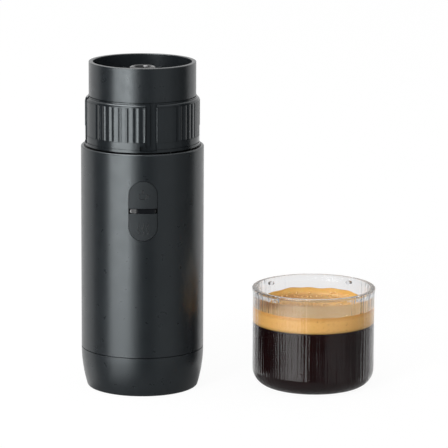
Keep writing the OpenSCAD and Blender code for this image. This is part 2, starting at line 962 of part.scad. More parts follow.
// Upright hollow flutes of one stretch, from the pad on, that run out in the lines above and below
module ring_flutes() {
    for (i = [0 : flutes - 1]) rotate(rib_deg * (i + 0.5)) translate([flute_place, 0, 0])
        bar(flute_place - flute_floor_r, rib_z - line_h / 2, rib_top - line_h / 2);
}

// What lies outside a radius over an angle and a height, up from the slot's foot
module slot_cut(r, turn, angle, h) {
    rotate(turn) rotate_extrude(angle = angle)
        translate([r, nib_z - pocket_h / 2]) square([far, h]);
}

// Entry beside a shallow step, then a pocket at its foot, behind a low detent in its roof
module j_slot() {
    side = -slot_deg / 2;
    slot_cut(slot_floor_r, slot_deg / 2 - entry_deg, entry_deg, far);
    slot_cut(ring_r - slot_step, side, slot_deg - entry_deg + eps, far);
    slot_cut(slot_floor_r, side, slot_deg - entry_deg + eps, pocket_h);
    slot_cut(slot_floor_r, side - detent_deg - eps, detent_deg + 2 * eps, pocket_h - detent_h);
    slot_cut(slot_floor_r, side - pocket_deg, pocket_deg - detent_deg, pocket_h);
}

module spout_collar() {
    color(anthracite) difference() {
        union() {
            rotate_extrude() {
                translate([skirt_in_r, step_z]) square([skirt_t, collar_z - step_z + eps]);
                translate([skirt_in_r, collar_z])
                    square([collar_r - skirt_in_r, floor_z - floor_t - collar_z + eps]);
                translate([0, floor_z - floor_t]) square([collar_r, floor_t]);
                round_top(collar_in_r, collar_r, floor_z - eps, rim_z, rim_round);
            }
            around([for (i = [0 : spokes - 1]) (i + 0.5) * 360 / spokes])
                translate([0, -spoke_w / 2, floor_z - eps])
                    cube([collar_in_r + rim_round, spoke_w, spoke_h + eps]);
            bar(nozzle_r - nozzle_collar + hub_t, floor_z - eps, spoke_z - hub_drop);
        }
        bar(nozzle_r - nozzle_collar, floor_z - floor_t - over, far);
    }
}

module spout_nozzle() {
    lip = (nozzle_d - nozzle_bore) / 4;
    neck = nozzle_r - nozzle_collar - fit;
    foot_z = floor_z - floor_t - nozzle_foot;
    color(black) rotate_extrude() {
        translate([nozzle_bore / 2, foot_z]) square([neck - nozzle_bore / 2, nozzle_top - lip - foot_z]);
        translate([nozzle_bore / 2, foot_z]) square([nozzle_r - nozzle_bore / 2, nozzle_foot]);
        translate([nozzle_bore / 2, spoke_z])
            square([nozzle_r - nozzle_bore / 2, nozzle_top - lip - spoke_z]);
        translate([nozzle_r - lip, nozzle_top - lip]) circle(r = lip);
    }
}

// Outer form of the lid: an upright arc that closes in towards a rounded bottom edge
module lid_section() {
    arc_x = lid_r - lid_bulge_r;
    reach = lid_bulge_r / (lid_bulge_r - lid_edge_r);
    touch_x = arc_x + reach * (base_r - arc_x);
    touch_z = lid_h + reach * (lid_edge_r - lid_h);
    difference() {
        intersection() {
            square([lid_r, lid_h]);
            translate([arc_x, lid_h]) circle(r = lid_bulge_r, $fn = 256);
        }
        polygon([[base_r, -over], [lid_r + over, -over], [lid_r + over, touch_z], [touch_x, touch_z],
                 [base_r, lid_edge_r]]);
    }
    translate([base_r, lid_edge_r]) circle(r = lid_edge_r);
}

module tank_lid() {
    color(anthracite) difference() {
        rotate_extrude() difference() {
            lid_section();
            translate([-far, -over]) square([far, far]);
            translate([0, lid_floor]) square([dish_r, far]);
            translate([0, ledge_z]) square([thread_r, far]);
        }
        rotate(-45) translate([vent_place, 0, 0]) bar(vent_d / 2 + fit, -over, lid_floor + over);
        at_pads() bar(pad_d / 2 + fit, -over, pad_t);
    }
}

module at_pads() {
    around([for (i = [0 : pads - 1]) 360 / pads * i]) translate([pad_place, 0, 0]) children();
}

module base_pads() {
    color(silicone) at_pads() bar(pad_d / 2, 0, pad_t);
}

module lid_seal() {
    color("#c9c4bb") tube(thread_r - fit, seal_in_r, ledge_z, ledge_z + seal_t);
}

module vent_valve() {
    color("#c9c4bb") rotate(-45) translate([vent_place, 0, 0]) {
        bar(vent_d / 2, vent_inset, lid_floor + eps);
        bar(vent_cap_r, lid_floor, lid_floor + vent_cap_h);
    }
}

module port_flap() {
    top = body_r - recess + flap_gap / 2;
    color(silicone) {
        shell(panel_r, top, 0, far) to_back(usb_z, top - over, far) obround(flap_w, flap_h);
        shell(top + seat, top - boss_l, 0, far) to_back(usb_z, top - over, far) obround(boss_w, boss_h);
    }
}

// The cup's outer form: straight side, round bottom corner and a slight flare at the rim
module cup_section() {
    r = cup_corner_r;
    lip_r = body_r + cup_flare;
    band_h = flare_drop - rim_r;
    translate([0, r]) square([body_r, cup_h - r - 2 * rim_r]);
    square([body_r - r, r + eps]);
    translate([body_r - r, r]) circle(r = r);
    translate([0, cup_h - flare_drop])
        polygon([[0, 0], [body_r, 0], [lip_r, flare_h], [lip_r, band_h], [0, band_h]]);
    translate([0, cup_h - 2 * rim_r]) square([lip_r - rim_r, 2 * rim_r]);
    translate([lip_r - rim_r, cup_h - rim_r]) circle(r = rim_r);
}

module cup_inside() {
    r = cup_corner_r - cup_wall;
    translate([0, cup_base + r]) square([cup_in_r, cup_h]);
    translate([0, cup_base]) square([cup_in_r - r, cup_h]);
    translate([cup_in_r - r, cup_base + r]) circle(r = r);
}

module cup() {
    tip_r = cup_in_r - nib_depth;
    color([0.85, 0.9, 0.95, 0.35]) translate([cup_x, cup_y, 0]) difference() {
        rotate_extrude() difference() {
            cup_section();
            translate([-far, -over]) square([far, far]);
        }
        difference() {
            rotate_extrude() difference() {
                cup_inside();
                translate([-far, -over]) square([far, 2 * far]);
            }
            around([for (i = [0 : slots - 1]) cup_turn + 360 / slots * (i + 0.5)])
                to_front(cup_h - nib_drop, tip_r, cup_in_r + cup_wall / 2) obround(nib_w, nib_h);
        }
    }
}

// The coffee follows the inside of the cup
module coffee() {
    r = cup_corner_r - cup_wall;
    color("#2a1209") translate([cup_x, cup_y, 0]) rotate_extrude() {
        translate([0, cup_base + r]) square([coffee_r, crema_z - cup_base - r]);
        translate([0, cup_base]) square([coffee_r - r, crema_z - cup_base]);
        translate([coffee_r - r, cup_base + r]) intersection() {
            circle(r = r);
            translate([0, -r]) square(r);
        }
    }
}

// The foam on it, whose edge climbs the wall
module crema() {
    inner = coffee_r - crema_lip - crema_climb;
    color("#c98f4e") translate([cup_x, cup_y, crema_z]) rotate_extrude() difference() {
        square([coffee_r, crema_t]);
        translate([-over, crema_t - crema_climb]) square([inner + over, over]);
        translate([inner, crema_t]) circle(r = crema_climb);
    }
}

body_sleeve();
tank_neck();
water_tank();
tank_insulation();
heater_plate();
thermostat();
tank_outlet();
board_frame();
main_board();
board_parts();
board_screws();
usb_socket();
cell_carrier();
cell_1();
cell_2();
cell_3();
cell_strips();
motor_can();
motor_magnets();
motor_bushes();
pump_housing();
pump_cap();
inlet_tube();
outlet_tube();
button_guide();
button_board();
button_switches();
light_bar();
top_deck();
deck_screws();
shower_block();
shower_screen();
screen_screw();
chamber_gasket();
motor_rotor();
pump_eccentric();
brew_button();
heat_button();
port_flap();
coffee_basket();
basket_filter();
basket_ring();
knurled_ring();
spout_collar();
spout_nozzle();
lid_seal();
tank_lid();
vent_valve();
base_pads();
cup();
coffee();
crema();
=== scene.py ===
import math

import bmesh
import bpy
from mathutils import Matrix, Vector


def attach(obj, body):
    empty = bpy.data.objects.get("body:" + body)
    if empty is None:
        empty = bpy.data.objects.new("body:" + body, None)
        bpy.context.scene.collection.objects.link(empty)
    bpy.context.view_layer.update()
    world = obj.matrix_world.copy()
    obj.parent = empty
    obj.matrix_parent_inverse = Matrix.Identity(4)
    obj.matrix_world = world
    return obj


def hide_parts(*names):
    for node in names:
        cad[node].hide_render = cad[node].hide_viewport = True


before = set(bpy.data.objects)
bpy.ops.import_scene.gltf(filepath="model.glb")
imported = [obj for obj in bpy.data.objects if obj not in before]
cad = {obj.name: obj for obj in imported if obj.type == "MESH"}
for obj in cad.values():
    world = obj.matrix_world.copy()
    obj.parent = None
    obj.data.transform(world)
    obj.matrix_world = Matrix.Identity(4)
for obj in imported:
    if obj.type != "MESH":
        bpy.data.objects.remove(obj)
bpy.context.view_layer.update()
scene = bpy.context.scene
mm = 0.001
print("frame loaded:", len(cad), "nodes")


# Node helpers. Sizes are given in millimetres, colours are linear.

def addNode(tree, kind, **sockets):
    node = tree.nodes.new(kind)
    for name, value in sockets.items():
        node.inputs[name.replace("_", " ")].default_value = value
    return node


def calculate(tree, operation, first, second):
    # one step of arithmetic on two sockets
    step = tree.nodes.new("ShaderNodeMath")
    step.operation = operation
    tree.links.new(first, step.inputs[0])
    tree.links.new(second, step.inputs[1])
    return step.outputs["Value"]


def noiseAt(tree, place, size, stretch=(1, 1, 1), detail=2.0):
    # a noise whose features are about this many millimetres across
    squash = addNode(tree, "ShaderNodeMapping", Scale=stretch)
    noise = addNode(tree, "ShaderNodeTexNoise", Scale=1 / (size * mm), Detail=detail, Roughness=0.55)
    tree.links.new(place, squash.inputs["Vector"])
    tree.links.new(squash.outputs["Vector"], noise.inputs["Vector"])
    return noise.outputs["Fac"]


def spread(tree, value, low, high, start=0.3, end=0.7):
    # takes start..end to low..high; start and end as given here are a noise's middle range
    ranged = addNode(tree, "ShaderNodeMapRange", From_Min=start, From_Max=end, To_Min=low, To_Max=high)
    tree.links.new(value, ranged.inputs["Value"])
    return ranged.outputs["Result"]


def mixColours(tree, factor, first, second):
    # each colour is a socket or a plain (r, g, b); a Mix node has its colours in inputs 6 and 7
    mix = tree.nodes.new("ShaderNodeMix")
    mix.data_type = "RGBA"
    for socket, value in ((mix.inputs[6], first), (mix.inputs[7], second)):
        if isinstance(value, tuple):
            socket.default_value = (*value, 1)
        else:
            tree.links.new(value, socket)
    tree.links.new(factor, mix.inputs[0])
    return mix.outputs[2]


def mixShaders(tree, factor, first, second):
    mix = tree.nodes.new("ShaderNodeMixShader")
    for value, socket in zip((factor, first, second), mix.inputs):
        tree.links.new(value, socket)
    return mix.outputs["Shader"]


def bumpFrom(tree, height, depth, before=None):
    bump = addNode(tree, "ShaderNodeBump", Strength=1.0, Distance=depth * mm)
    tree.links.new(height, bump.inputs["Height"])
    if before is not None:
        tree.links.new(before, bump.inputs["Normal"])
    return bump.outputs["Normal"]


def awayAndReach(tree, fromAxis):
    # the X, Y and Z of a way from an upright axis, and how far out it leads
    parts = tree.nodes.new("ShaderNodeSeparateXYZ")
    flat = tree.nodes.new("ShaderNodeCombineXYZ")
    reach = tree.nodes.new("ShaderNodeVectorMath")
    reach.operation = "LENGTH"
    tree.links.new(fromAxis, parts.inputs["Vector"])
    for axis in ("X", "Y"):
        tree.links.new(parts.outputs[axis], flat.inputs[axis])
    tree.links.new(flat.outputs["Vector"], reach.inputs[0])
    return parts.outputs, reach.outputs["Value"]


# Finishes

def startMaterial(name):
    material = bpy.data.materials.new(name)
    material.use_nodes = True
    tree = material.node_tree
    shader = tree.nodes["Principled BSDF"]
    place = tree.nodes.new("ShaderNodeTexCoord").outputs["Object"]
    return material, tree, shader, place


def setSockets(shader, values):
    for name, value in values.items():
        shader.inputs[name].default_value = value


# what a finish has where its own look below says nothing else
plainLook = dict(tone=0.08, toneSize=14, glossPlay=0.03, glossSize=5, grainDepth=0.01, grainSize=0.35,
                 stretch=(1, 1, 1), sockets={})


def makeFinish(name, look):
    # colour with a soft tone change, uneven gloss and a fine grain or brushed lines
    look = {**plainLook, **look}
    material, tree, shader, place = startMaterial(name)
    tone, rough, play, stretch = (look[k] for k in ("tone", "rough", "glossPlay", "stretch"))
    dark, light = (tuple(min(1, c * part) for c in look["colour"]) for part in (1 - tone, 1 + tone))
    cloud = spread(tree, noiseAt(tree, place, look["toneSize"], stretch), 0, 1)
    tree.links.new(mixColours(tree, cloud, dark, light), shader.inputs["Base Color"])
    gloss = noiseAt(tree, place, look["glossSize"], stretch, detail=3.0)
    tree.links.new(spread(tree, gloss, rough - play, rough + play), shader.inputs["Roughness"])
    grain = noiseAt(tree, place, look["grainSize"], stretch, detail=4.0)
    tree.links.new(bumpFrom(tree, grain, look["grainDepth"]), shader.inputs["Normal"])
    setSockets(shader, look["sockets"])
    return material


coolGloss = (0.90, 0.975, 1.0, 1)  # the plastics' gloss is a little cool

slotLooks = {
    "satin_anthracite": dict(colour=(0.0150, 0.0182, 0.0212), rough=0.30, tone=0.05, grainDepth=0.0015,
                             sockets={"Specular Tint": coolGloss}),
    "ring_anthracite": dict(colour=(0.0150, 0.0182, 0.0212), rough=0.22, glossPlay=0.02, tone=0.05,
                            grainDepth=0.001,
                            sockets={"Specular IOR Level": 0.4, "Specular Tint": coolGloss}),
    "key_anthracite": dict(colour=(0.0185, 0.0215, 0.0240), rough=0.55, tone=0.04, grainDepth=0.005,
                           sockets={"Specular IOR Level": 0.35, "Specular Tint": coolGloss}),
    "nozzle_black": dict(colour=(0.014, 0.015, 0.017), rough=0.16, tone=0.04, grainDepth=0.002),
    "coffee_dark": dict(colour=(0.0100, 0.0018, 0.0018), rough=0.2, tone=0.15, grainDepth=0.001,
                        sockets={"Specular IOR Level": 0.03}),
    "crema_tan": dict(colour=(0.58, 0.31, 0.11), rough=0.4, tone=0.1, grainDepth=0.02),
    "light_window": dict(colour=(0.008, 0.009, 0.011), rough=0.07, tone=0.03, grainDepth=0.0005,
                         sockets={"Specular IOR Level": 0.42}),
    "inner_black": dict(colour=(0.018, 0.02, 0.022), rough=0.48, tone=0.1),
    "inner_grey": dict(colour=(0.08, 0.09, 0.10), rough=0.5),
    "tank_steel": dict(colour=(0.62, 0.62, 0.61), rough=0.24, tone=0.04, grainSize=0.5, grainDepth=0.003,
                       stretch=(1, 1, 0.06), glossPlay=0.08, sockets={"Metallic": 1.0}),
    "screw_steel": dict(colour=(0.56, 0.56, 0.57), rough=0.27, tone=0.06, glossSize=1.2, glossPlay=0.08,
                        grainSize=0.2, grainDepth=0.003, sockets={"Metallic": 1.0}),
    "foam_grey": dict(colour=(0.12, 0.13, 0.14), rough=0.9, tone=0.2, toneSize=1.2, grainSize=0.6,
                      grainDepth=0.12),
    "heater_copper": dict(colour=(0.74, 0.40, 0.24), rough=0.3, tone=0.1, toneSize=6, glossPlay=0.1,
                          grainDepth=0.004, sockets={"Metallic": 1.0}),
    "bush_brass": dict(colour=(0.72, 0.52, 0.24), rough=0.3, toneSize=3, glossPlay=0.08, grainDepth=0.004,
                       stretch=(1, 1, 6), sockets={"Metallic": 1.0}),
    "magnet_iron": dict(colour=(0.06, 0.06, 0.065), rough=0.6, tone=0.15, toneSize=1.5, grainDepth=0.03),
    "chip_black": dict(colour=(0.02, 0.02, 0.022), rough=0.45, tone=0.1, toneSize=2),
    "cell_blue": dict(colour=(0.03, 0.14, 0.32), rough=0.3, tone=0.06, grainDepth=0.004),
    "seal_silicone": dict(colour=(0.60, 0.57, 0.52), rough=0.5, tone=0.05, grainDepth=0.008,
                          sockets={"Subsurface Weight": 0.15, "Subsurface Scale": 0.002}),
    "dark_silicone": dict(colour=(0.022, 0.024, 0.027), rough=0.55, tone=0.1,
                          sockets={"Sheen Weight": 0.1}),
    "tube_clear": dict(colour=(0.75, 0.78, 0.80), rough=0.35, tone=0.03, grainDepth=0.004,
                       sockets={"Transmission Weight": 0.35, "IOR": 1.41}),
}


# tileWidth, tileHeight and trackWidth are parts of tileSize, trackDepth is in millimetres
boardLook = dict(tileSize=9, tileWidth=0.9, tileHeight=0.28, trackWidth=0.035, trackBlur=0.1,
                 trackDepth=0.035, trackColour=(0.05, 0.22, 0.11), cloudSize=6,
                 maskColours=((0.016, 0.10, 0.052), (0.022, 0.13, 0.066)), glossSize=2, rough=(0.24, 0.34))


def makeBoardGreen(look):
    # solder mask over copper tracks
    material, tree, shader, place = startMaterial("board_green")
    tracks = addNode(tree, "ShaderNodeTexBrick", Scale=1 / (look["tileSize"] * mm),
                     Brick_Width=look["tileWidth"], Row_Height=look["tileHeight"],
                     Mortar_Size=look["trackWidth"], Mortar_Smooth=look["trackBlur"])
    tree.links.new(place, tracks.inputs["Vector"])
    line = tracks.outputs["Fac"]
    cloud = spread(tree, noiseAt(tree, place, look["cloudSize"]), 0, 1)
    mask = mixColours(tree, cloud, *look["maskColours"])
    tree.links.new(mixColours(tree, line, mask, look["trackColour"]), shader.inputs["Base Color"])
    gloss = noiseAt(tree, place, look["glossSize"])
    tree.links.new(spread(tree, gloss, *look["rough"]), shader.inputs["Roughness"])
    tree.links.new(bumpFrom(tree, line, look["trackDepth"]), shader.inputs["Normal"])
    return material


cupLook = dict(colour=(0.945, 0.948, 0.955), ior=1.49, tint=(0.45, 0.47, 0.50), density=95,
               hazeSize=12, haze=0.03, markSize=2.2, marks=0.3, fineMarkSize=1.1, fineMarks=0.2,
               markStretch=(1, 1, 0.01), shadowColour=(0.97, 0.975, 0.98))


def makeClearCup(look):
    # clear moulded plastic with upright draw marks, greyer where it is deep; lamps shine through it
    material, tree, shader, place = startMaterial("clear_cup")
    output = tree.nodes["Material Output"]
    setSockets(shader, {"Base Color": (*look["colour"], 1), "Transmission Weight": 1.0, "IOR": look["ior"]})
    haze = noiseAt(tree, place, look["hazeSize"])
    tree.links.new(spread(tree, haze, 0, look["haze"]), shader.inputs["Roughness"])
    broad = noiseAt(tree, place, look["markSize"], look["markStretch"])
    fine = noiseAt(tree, place, look["fineMarkSize"], look["markStretch"], detail=1.0)
    marks = bumpFrom(tree, fine, look["fineMarks"], before=bumpFrom(tree, broad, look["marks"]))
    tree.links.new(marks, shader.inputs["Normal"])
    veil = addNode(tree, "ShaderNodeBsdfTransparent", Color=(*look["shadowColour"], 1))
    forShadow = tree.nodes.new("ShaderNodeLightPath").outputs["Is Shadow Ray"]
    surface = mixShaders(tree, forShadow, shader.outputs["BSDF"], veil.outputs["BSDF"])
    tree.links.new(surface, output.inputs["Surface"])
    tinted = addNode(tree, "ShaderNodeVolumeAbsorption", Color=(*look["tint"], 1), Density=look["density"])
    tree.links.new(tinted.outputs["Volume"], output.inputs["Volume"])
    return material


finishes = {name: makeFinish(name, look) for name, look in slotLooks.items()}
finishes["board_green"] = makeBoardGreen(boardLook)
finishes["clear_cup"] = makeClearCup(cupLook)
for node in cad.values():
    for holder in node.material_slots:
        holder.material = finishes[holder.material.name]
print("materials:", len(finishes))


# Pieces

def finishMesh(mesh, material):
    mesh.materials.clear()
    mesh.materials.append(material)
    mesh.polygons.foreach_set("material_index", [0] * len(mesh.polygons))
    mesh.polygons.foreach_set("use_smooth", [True] * len(mesh.polygons))
    mesh.update()


def placePiece(name, mesh, body, replaced=()):
    piece = bpy.data.objects.new(name, mesh)
    scene.collection.objects.link(piece)
    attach(piece, body)
    if replaced:
        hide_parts(*replaced)
    return piece


def arc(cx, cz, r, start, end, steps):
    # points of a section's arc, angles in degrees from +X
    turns = [math.radians(start + (end - start) * i / steps) for i in range(steps + 1)]
    return [(cx + r * math.cos(t), cz + r * math.sin(t)) for t in turns]


def latheMesh(name, section, segments, centre, lift=None):
    # turns a section of (radius, z) points about an upright axis and closes it with a pole at each end;
    # lift(radius, z, turn) says how much higher a point comes to lie
    form = bmesh.new()
    rings = []
    for r, z in [(0, section[0][1]), *section, (0, section[-1][1])]:
        spots = []
        for i in range(segments if r else 1):
            turn = 2 * math.pi * i / segments
            x, y = centre[0] + r * math.cos(turn), centre[1] + r * math.sin(turn)
            high = z + (lift(r, z, turn) if lift else 0)
            spots.append(form.verts.new((x * mm, y * mm, high * mm)))
        rings.append(spots)
    for low, high in zip(rings, rings[1:]):
        for i in range(segments):
            j = (i + 1) % segments
            if len(low) == 1:
                form.faces.new((low[0], high[i], high[j]))
            elif len(high) == 1:
                form.faces.new((low[i], low[j], high[0]))
            else:
                form.faces.new((low[i], low[j], high[j], high[i]))
    bmesh.ops.recalc_face_normals(form, faces=form.faces)
    mesh = bpy.data.meshes.new(name)
    form.to_mesh(mesh)
    form.free()
    return mesh


def startTree(name, labels):
    # a Geometry Nodes tree with named inputs, lengths in metres, and the finish
    tree = bpy.data.node_groups.new(name, "GeometryNodeTree")
    tree.is_modifier = True
    tree.interface.new_socket("Geometry", in_out="OUTPUT", socket_type="NodeSocketGeometry")
    tree.interface.new_socket("Geometry", in_out="INPUT", socket_type="NodeSocketGeometry")
    inputs = {}
    for label in (*labels, "Finish"):
        kind = {"Seed": "NodeSocketInt", "Finish": "NodeSocketMaterial"}.get(label, "NodeSocketFloat")
        inputs[label] = tree.interface.new_socket(label, in_out="INPUT", socket_type=kind).identifier
    return tree, tree.nodes.new("NodeGroupInput"), inputs


def endTree(tree, given, shape):
    # every tree ends as one real mesh in its finish
    real = tree.nodes.new("GeometryNodeRealizeInstances")
    dress = tree.nodes.new("GeometryNodeSetMaterial")
    out = tree.nodes.new("NodeGroupOutput")
    tree.links.new(shape, real.inputs["Geometry"])
    tree.links.new(real.outputs["Geometry"], dress.inputs["Geometry"])
    tree.links.new(given.outputs["Finish"], dress.inputs["Material"])
    tree.links.new(dress.outputs["Geometry"], out.inputs["Geometry"])


lineSides = 8  # flats round a swept line


def sweepAlong(tree, path, thickness, scale=None):
    # a round line of the given half thickness along a path, with closed ends
    profile = addNode(tree, "GeometryNodeCurvePrimitiveCircle", Resolution=lineSides)
    sweep = addNode(tree, "GeometryNodeCurveToMesh", Fill_Caps=True)
    tree.links.new(thickness, profile.inputs["Radius"])
    if scale is not None:
        tree.links.new(scale, sweep.inputs["Scale"])
    tree.links.new(path, sweep.inputs["Curve"])
    tree.links.new(profile.outputs["Curve"], sweep.inputs["Profile Curve"])
    return sweep.outputs["Mesh"]


def growMesh(name, grower, values, finish, seedMesh=None):
    # evaluates a tree on a seed mesh and keeps the result as a plain mesh
    tree, inputs = grower
    holder = bpy.data.objects.new(name + "_seed", seedMesh or bpy.data.meshes.new(name + "_seed"))
    scene.collection.objects.link(holder)
    modifier = holder.modifiers.new("grow", "NODES")
    modifier.node_group = tree
    for label, value in values.items():
        modifier[inputs[label]] = value
    modifier[inputs["Finish"]] = finish
    graph = bpy.context.evaluated_depsgraph_get()
    mesh = bpy.data.meshes.new_from_object(holder.evaluated_get(graph), depsgraph=graph)
    mesh.name = name
    holder.modifiers.remove(modifier)
    bpy.data.objects.remove(holder)
    finishMesh(mesh, finish)
    return mesh


# The drink

cupSpot = (98.4, -1.9)  # the cup's upright axis

coffeeLook = dict(wallRadius=33.05, floorZ=2.95, cornerRadius=8.05, cornerSteps=10, topZ=37.2, segments=160)


def makeCoffee(look):
    r, corner = look["wallRadius"], look["cornerRadius"]
    section = arc(r - corner, look["floorZ"] + corner, corner, -90, 0, look["cornerSteps"])
    section.append((r, look["topZ"]))
    mesh = latheMesh("coffee_drink", section, look["segments"], cupSpot)
    finishMesh(mesh, finishes["coffee_dark"])
    placePiece("coffee_drink", mesh, "drinking_cup", ("coffee",))


cremaLook = dict(
    wallRadius=33.05, lowZ=36.9, topZ=46.3, middleZ=45.1, segments=160, sideSteps=5,
    # its rounded edge, how it clings to the wall, highest at the far side, and its uneven surface, which is
    # calm near the wall and in the middle
    lip=0.2, edge=1.6, flatRadius=29, climb=3.3, climbShape=0.7, ragged=0.25, fineRagged=0.15,
    raggedInFront=0.4, wave=0.1, calmEdge=3, calmMiddle=8,
    # the top: paler foam, darker towards the far left, with a golden rim. Each fade runs between two
    # places, and darkInMiddle and darkInFront are what is left of the dark there
    swirlSize=11, swirlRange=(0.35, 0.65), darkOutwards=(10, 27), darkInMiddle=0.15,
    darkBackwards=(-8, 8), darkInFront=0.25, darkToRight=(-24, 16), rim=(31, 32.6),
    palerColours=((0.90, 0.53, 0.20), (0.97, 0.65, 0.30)),
    darkerColours=((0.33, 0.105, 0.018), (0.47, 0.18, 0.035)),
    rimColours=((0.88, 0.50, 0.13), (0.95, 0.62, 0.21)),
    # the side seen through the wall: golden, a darker line at its top, a few brown specks
    wall=(32.9, 33.0), sideColour=(0.95, 0.54, 0.16),
    lineUpwards=(43.6, 45.6), line=0.75, lineColour=(0.76, 0.34, 0.07),
    speckSize=1.1, speckRange=(0.63, 0.7), specks=0.8, speckColour=(0.50, 0.17, 0.03),
    grainSize=0.5, grainDepth=0.05,
    sockets={"Roughness": 0.5, "Specular IOR Level": 0.25, "Subsurface Weight": 0.1,
             "Subsurface Scale": 0.0015})


def makeCremaFinish(look):
    material, tree, shader, place = startMaterial("crema_foam")
    centred = addNode(tree, "ShaderNodeMapping", Location=(-cupSpot[0] * mm, -cupSpot[1] * mm, 0))
    tree.links.new(place, centred.inputs["Vector"])
    away, reach = awayAndReach(tree, centred.outputs["Vector"])

    def fade(value, low, high, places):
        start, end = look[places]
        return spread(tree, value, low, high, start * mm, end * mm)

    swirl = spread(tree, noiseAt(tree, place, look["swirlSize"], detail=4.0), 0, 1, *look["swirlRange"])
    dark = fade(reach, look["darkInMiddle"], 1, "darkOutwards")
    for part in (fade(away["Y"], look["darkInFront"], 1, "darkBackwards"),
                 fade(away["X"], 1, 0, "darkToRight")):
        dark = calculate(tree, "MULTIPLY", dark, part)
    paler, darker, golden = (mixColours(tree, swirl, *look[k]) for k in ("palerColours", "darkerColours",
                                                                         "rimColours"))
    surface = mixColours(tree, fade(reach, 0, 1, "rim"), mixColours(tree, dark, paler, darker), golden)
    dots = noiseAt(tree, place, look["speckSize"], detail=3.0)
    specks = spread(tree, dots, 0, look["specks"], *look["speckRange"])
    side = mixColours(tree, specks, look["sideColour"], look["speckColour"])
    side = mixColours(tree, fade(away["Z"], 0, look["line"], "lineUpwards"), side, look["lineColour"])
    tree.links.new(mixColours(tree, fade(reach, 0, 1, "wall"), surface, side), shader.inputs["Base Color"])
    grain = noiseAt(tree, place, look["grainSize"], detail=4.0)
    tree.links.new(bumpFrom(tree, grain, look["grainDepth"]), shader.inputs["Normal"])
    setSockets(shader, look["sockets"])
    return material


def makeCrema(look):
    r, low, top, middle = (look[k] for k in ("wallRadius", "lowZ", "topZ", "middleZ"))
    lip, edge, flat = (look[k] for k in ("lip", "edge", "flatRadius"))
    steps = look["sideSteps"]
    section = [(r, low + (top - low) * i / steps) for i in range(steps + 1)]
    section.append((r - lip, top))
    section += [(r - lip - edge * (1 - math.cos(a)), top - (top - middle) * math.sin(a))
                for a in (math.radians(d) for d in (18, 36, 54, 72, 90))]
    section += [(radius, middle) for radius in (flat, 27, 24, 21, 18, 15, 12, 9, 6, 3)]

    def lift(radius, z, turn):
        # the foam clings higher to the far wall, raggedly, and its surface is gently uneven
        high = (z - low) / (top - low)
        back = max(0, math.sin(turn)) ** look["climbShape"]
        ragged = look["ragged"] * math.sin(7 * turn + 1) + look["fineRagged"] * math.sin(17 * turn)
        nearWall = max(0, (radius - flat) / (r - flat)) ** 2
        cling = (look["climb"] * back + ragged * (look["raggedInFront"] + back)) * high ** 3 * nearWall
        rough = min(1, max(0, (r - radius) / look["calmEdge"])) * min(1, radius / look["calmMiddle"])
        onTop = rough if z > low + 1 else 0
        wave = math.sin(3 * turn + radius * 0.4) + 0.6 * math.sin(5 * turn - radius * 0.7 + 1)
        return cling + look["wave"] * onTop * wave

    mesh = latheMesh("crema_foam", section, look["segments"], cupSpot, lift)
    finishMesh(mesh, makeCremaFinish(look))
    return placePiece("crema_foam", mesh, "drinking_cup", ("crema",))


makeCoffee(coffeeLook)
crema = makeCrema(cremaLook)
print("coffee and crema made")


# density is in points on a square metre of the crema; a higher rarity leaves fewer large bubbles
bubbleLook = dict(density=2.2e5, smallest=0.12, largest=0.75, rarity=3.0, seed=7, innerRadius=27.5,
                  outerRadius=32.7, lowZ=44.6, cloudSize=1.4,
                  filmColours=((0.80, 0.42, 0.10), (0.95, 0.68, 0.30)),
                  sockets={"Roughness": 0.07, "Specular IOR Level": 0.8})


def makeBubbleTree():
    tree, given, inputs = startTree("foamBubbles", ("Density", "Smallest", "Largest", "Rarity", "Seed",
                                                    "Inner radius", "Outer radius", "Lowest"))
    fromAxis = tree.nodes.new("ShaderNodeVectorMath")
    fromAxis.operation = "SUBTRACT"
    fromAxis.inputs[1].default_value = (cupSpot[0] * mm, cupSpot[1] * mm, 0)
    tree.links.new(tree.nodes.new("GeometryNodeInputPosition").outputs["Position"], fromAxis.inputs[0])
    away, reach = awayAndReach(tree, fromAxis.outputs["Vector"])
    chosen = calculate(tree, "GREATER_THAN", reach, given.outputs["Inner radius"])
    for check in (calculate(tree, "LESS_THAN", reach, given.outputs["Outer radius"]),
                  calculate(tree, "GREATER_THAN", away["Z"], given.outputs["Lowest"])):
        chosen = calculate(tree, "MULTIPLY", chosen, check)
    scatter = tree.nodes.new("GeometryNodeDistributePointsOnFaces")
    tree.links.new(given.outputs["Geometry"], scatter.inputs["Mesh"])
    tree.links.new(chosen, scatter.inputs["Selection"])
    tree.links.new(given.outputs["Density"], scatter.inputs["Density"])
    tree.links.new(given.outputs["Seed"], scatter.inputs["Seed"])
    chance = tree.nodes.new("FunctionNodeRandomValue")
    chance.data_type = "FLOAT"
    tree.links.new(given.outputs["Seed"], chance.inputs["Seed"])
    size = tree.nodes.new("ShaderNodeMapRange")
    rare = calculate(tree, "POWER", chance.outputs[1], given.outputs["Rarity"])
    tree.links.new(rare, size.inputs["Value"])
    tree.links.new(given.outputs["Smallest"], size.inputs["To Min"])
    tree.links.new(given.outputs["Largest"], size.inputs["To Max"])
    ball = addNode(tree, "GeometryNodeMeshIcoSphere", Radius=1.0, Subdivisions=2)
    place = tree.nodes.new("GeometryNodeInstanceOnPoints")
    tree.links.new(scatter.outputs["Points"], place.inputs["Points"])
    tree.links.new(ball.outputs["Mesh"], place.inputs["Instance"])
    tree.links.new(size.outputs["Result"], place.inputs["Scale"])
    endTree(tree, given, place.outputs["Instances"])
    return tree, inputs


